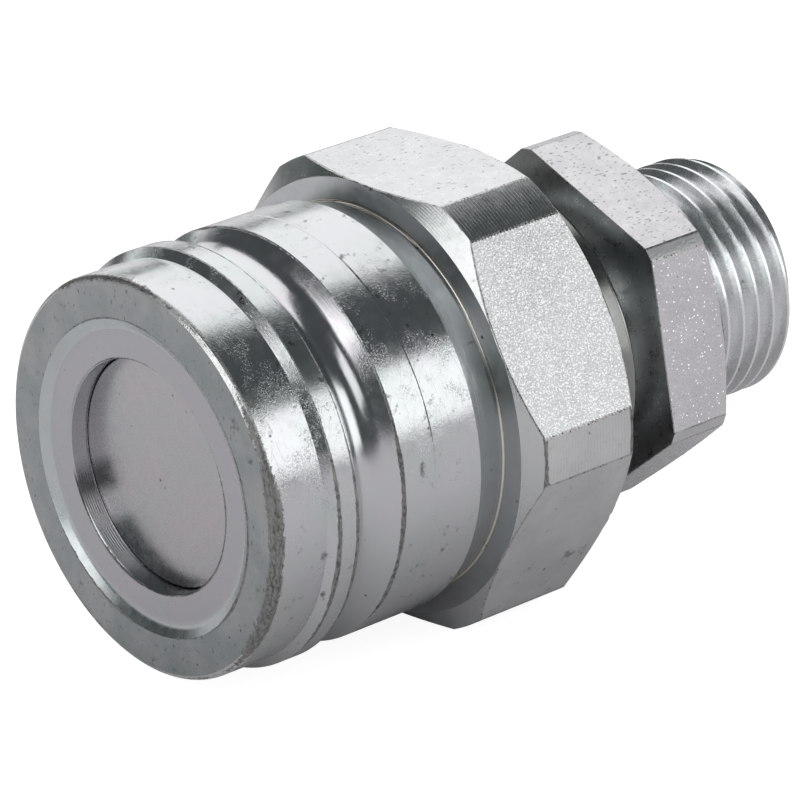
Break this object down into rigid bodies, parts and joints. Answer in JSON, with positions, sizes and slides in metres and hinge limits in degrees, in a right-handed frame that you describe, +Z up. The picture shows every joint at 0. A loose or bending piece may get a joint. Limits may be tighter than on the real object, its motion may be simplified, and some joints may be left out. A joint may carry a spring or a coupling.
{
  "type": "brake coupling",
  "caption": "Male half of a hydraulic brake coupling: grooved plug nose with a sprung poppet valve, spanner hexagons and a threaded tube end.",
  "frame": {"origin": "centre of the coupling's front face, on its axis", "axes": "+X along the axis from the front face towards the tube thread, +Z up, with the coupling lying on a flat of its big hexagon"},
  "size_m": [0.0539, 0.0352, 0.032],
  "materials": {
    "body_zinc": "bright zinc plating, turned and milled",
    "adapter_zinc": "bright zinc plating, turned and milled",
    "poppet_steel": "fine turned steel with a light zinc coat",
    "guide_steel": "turned steel",
    "spring_steel": "drawn wire",
    "seal_rubber": "smooth nitrile rubber",
    "backup_plastic": "white slippery plastic"
  },
  "bodies": {
    "coupling": {"coupling_body": "body_zinc", "poppet_guide": "guide_steel", "guide_retaining_ring": "spring_steel", "valve_spring": "spring_steel", "thread_adapter": "adapter_zinc", "adapter_seal_ring": "seal_rubber", "adapter_backup_ring": "backup_plastic"},
    "valve": {"poppet": "poppet_steel", "poppet_seal_ring": "seal_rubber"}
  },
  "joints": [
    {"name": "poppet_slide", "type": "slide", "parent": "coupling", "child": "valve", "axis": [1, 0, 0], "range_m": [0, 0.005], "stiffness_N_per_m": 2000, "deforming": ["valve_spring"]}
  ]
}
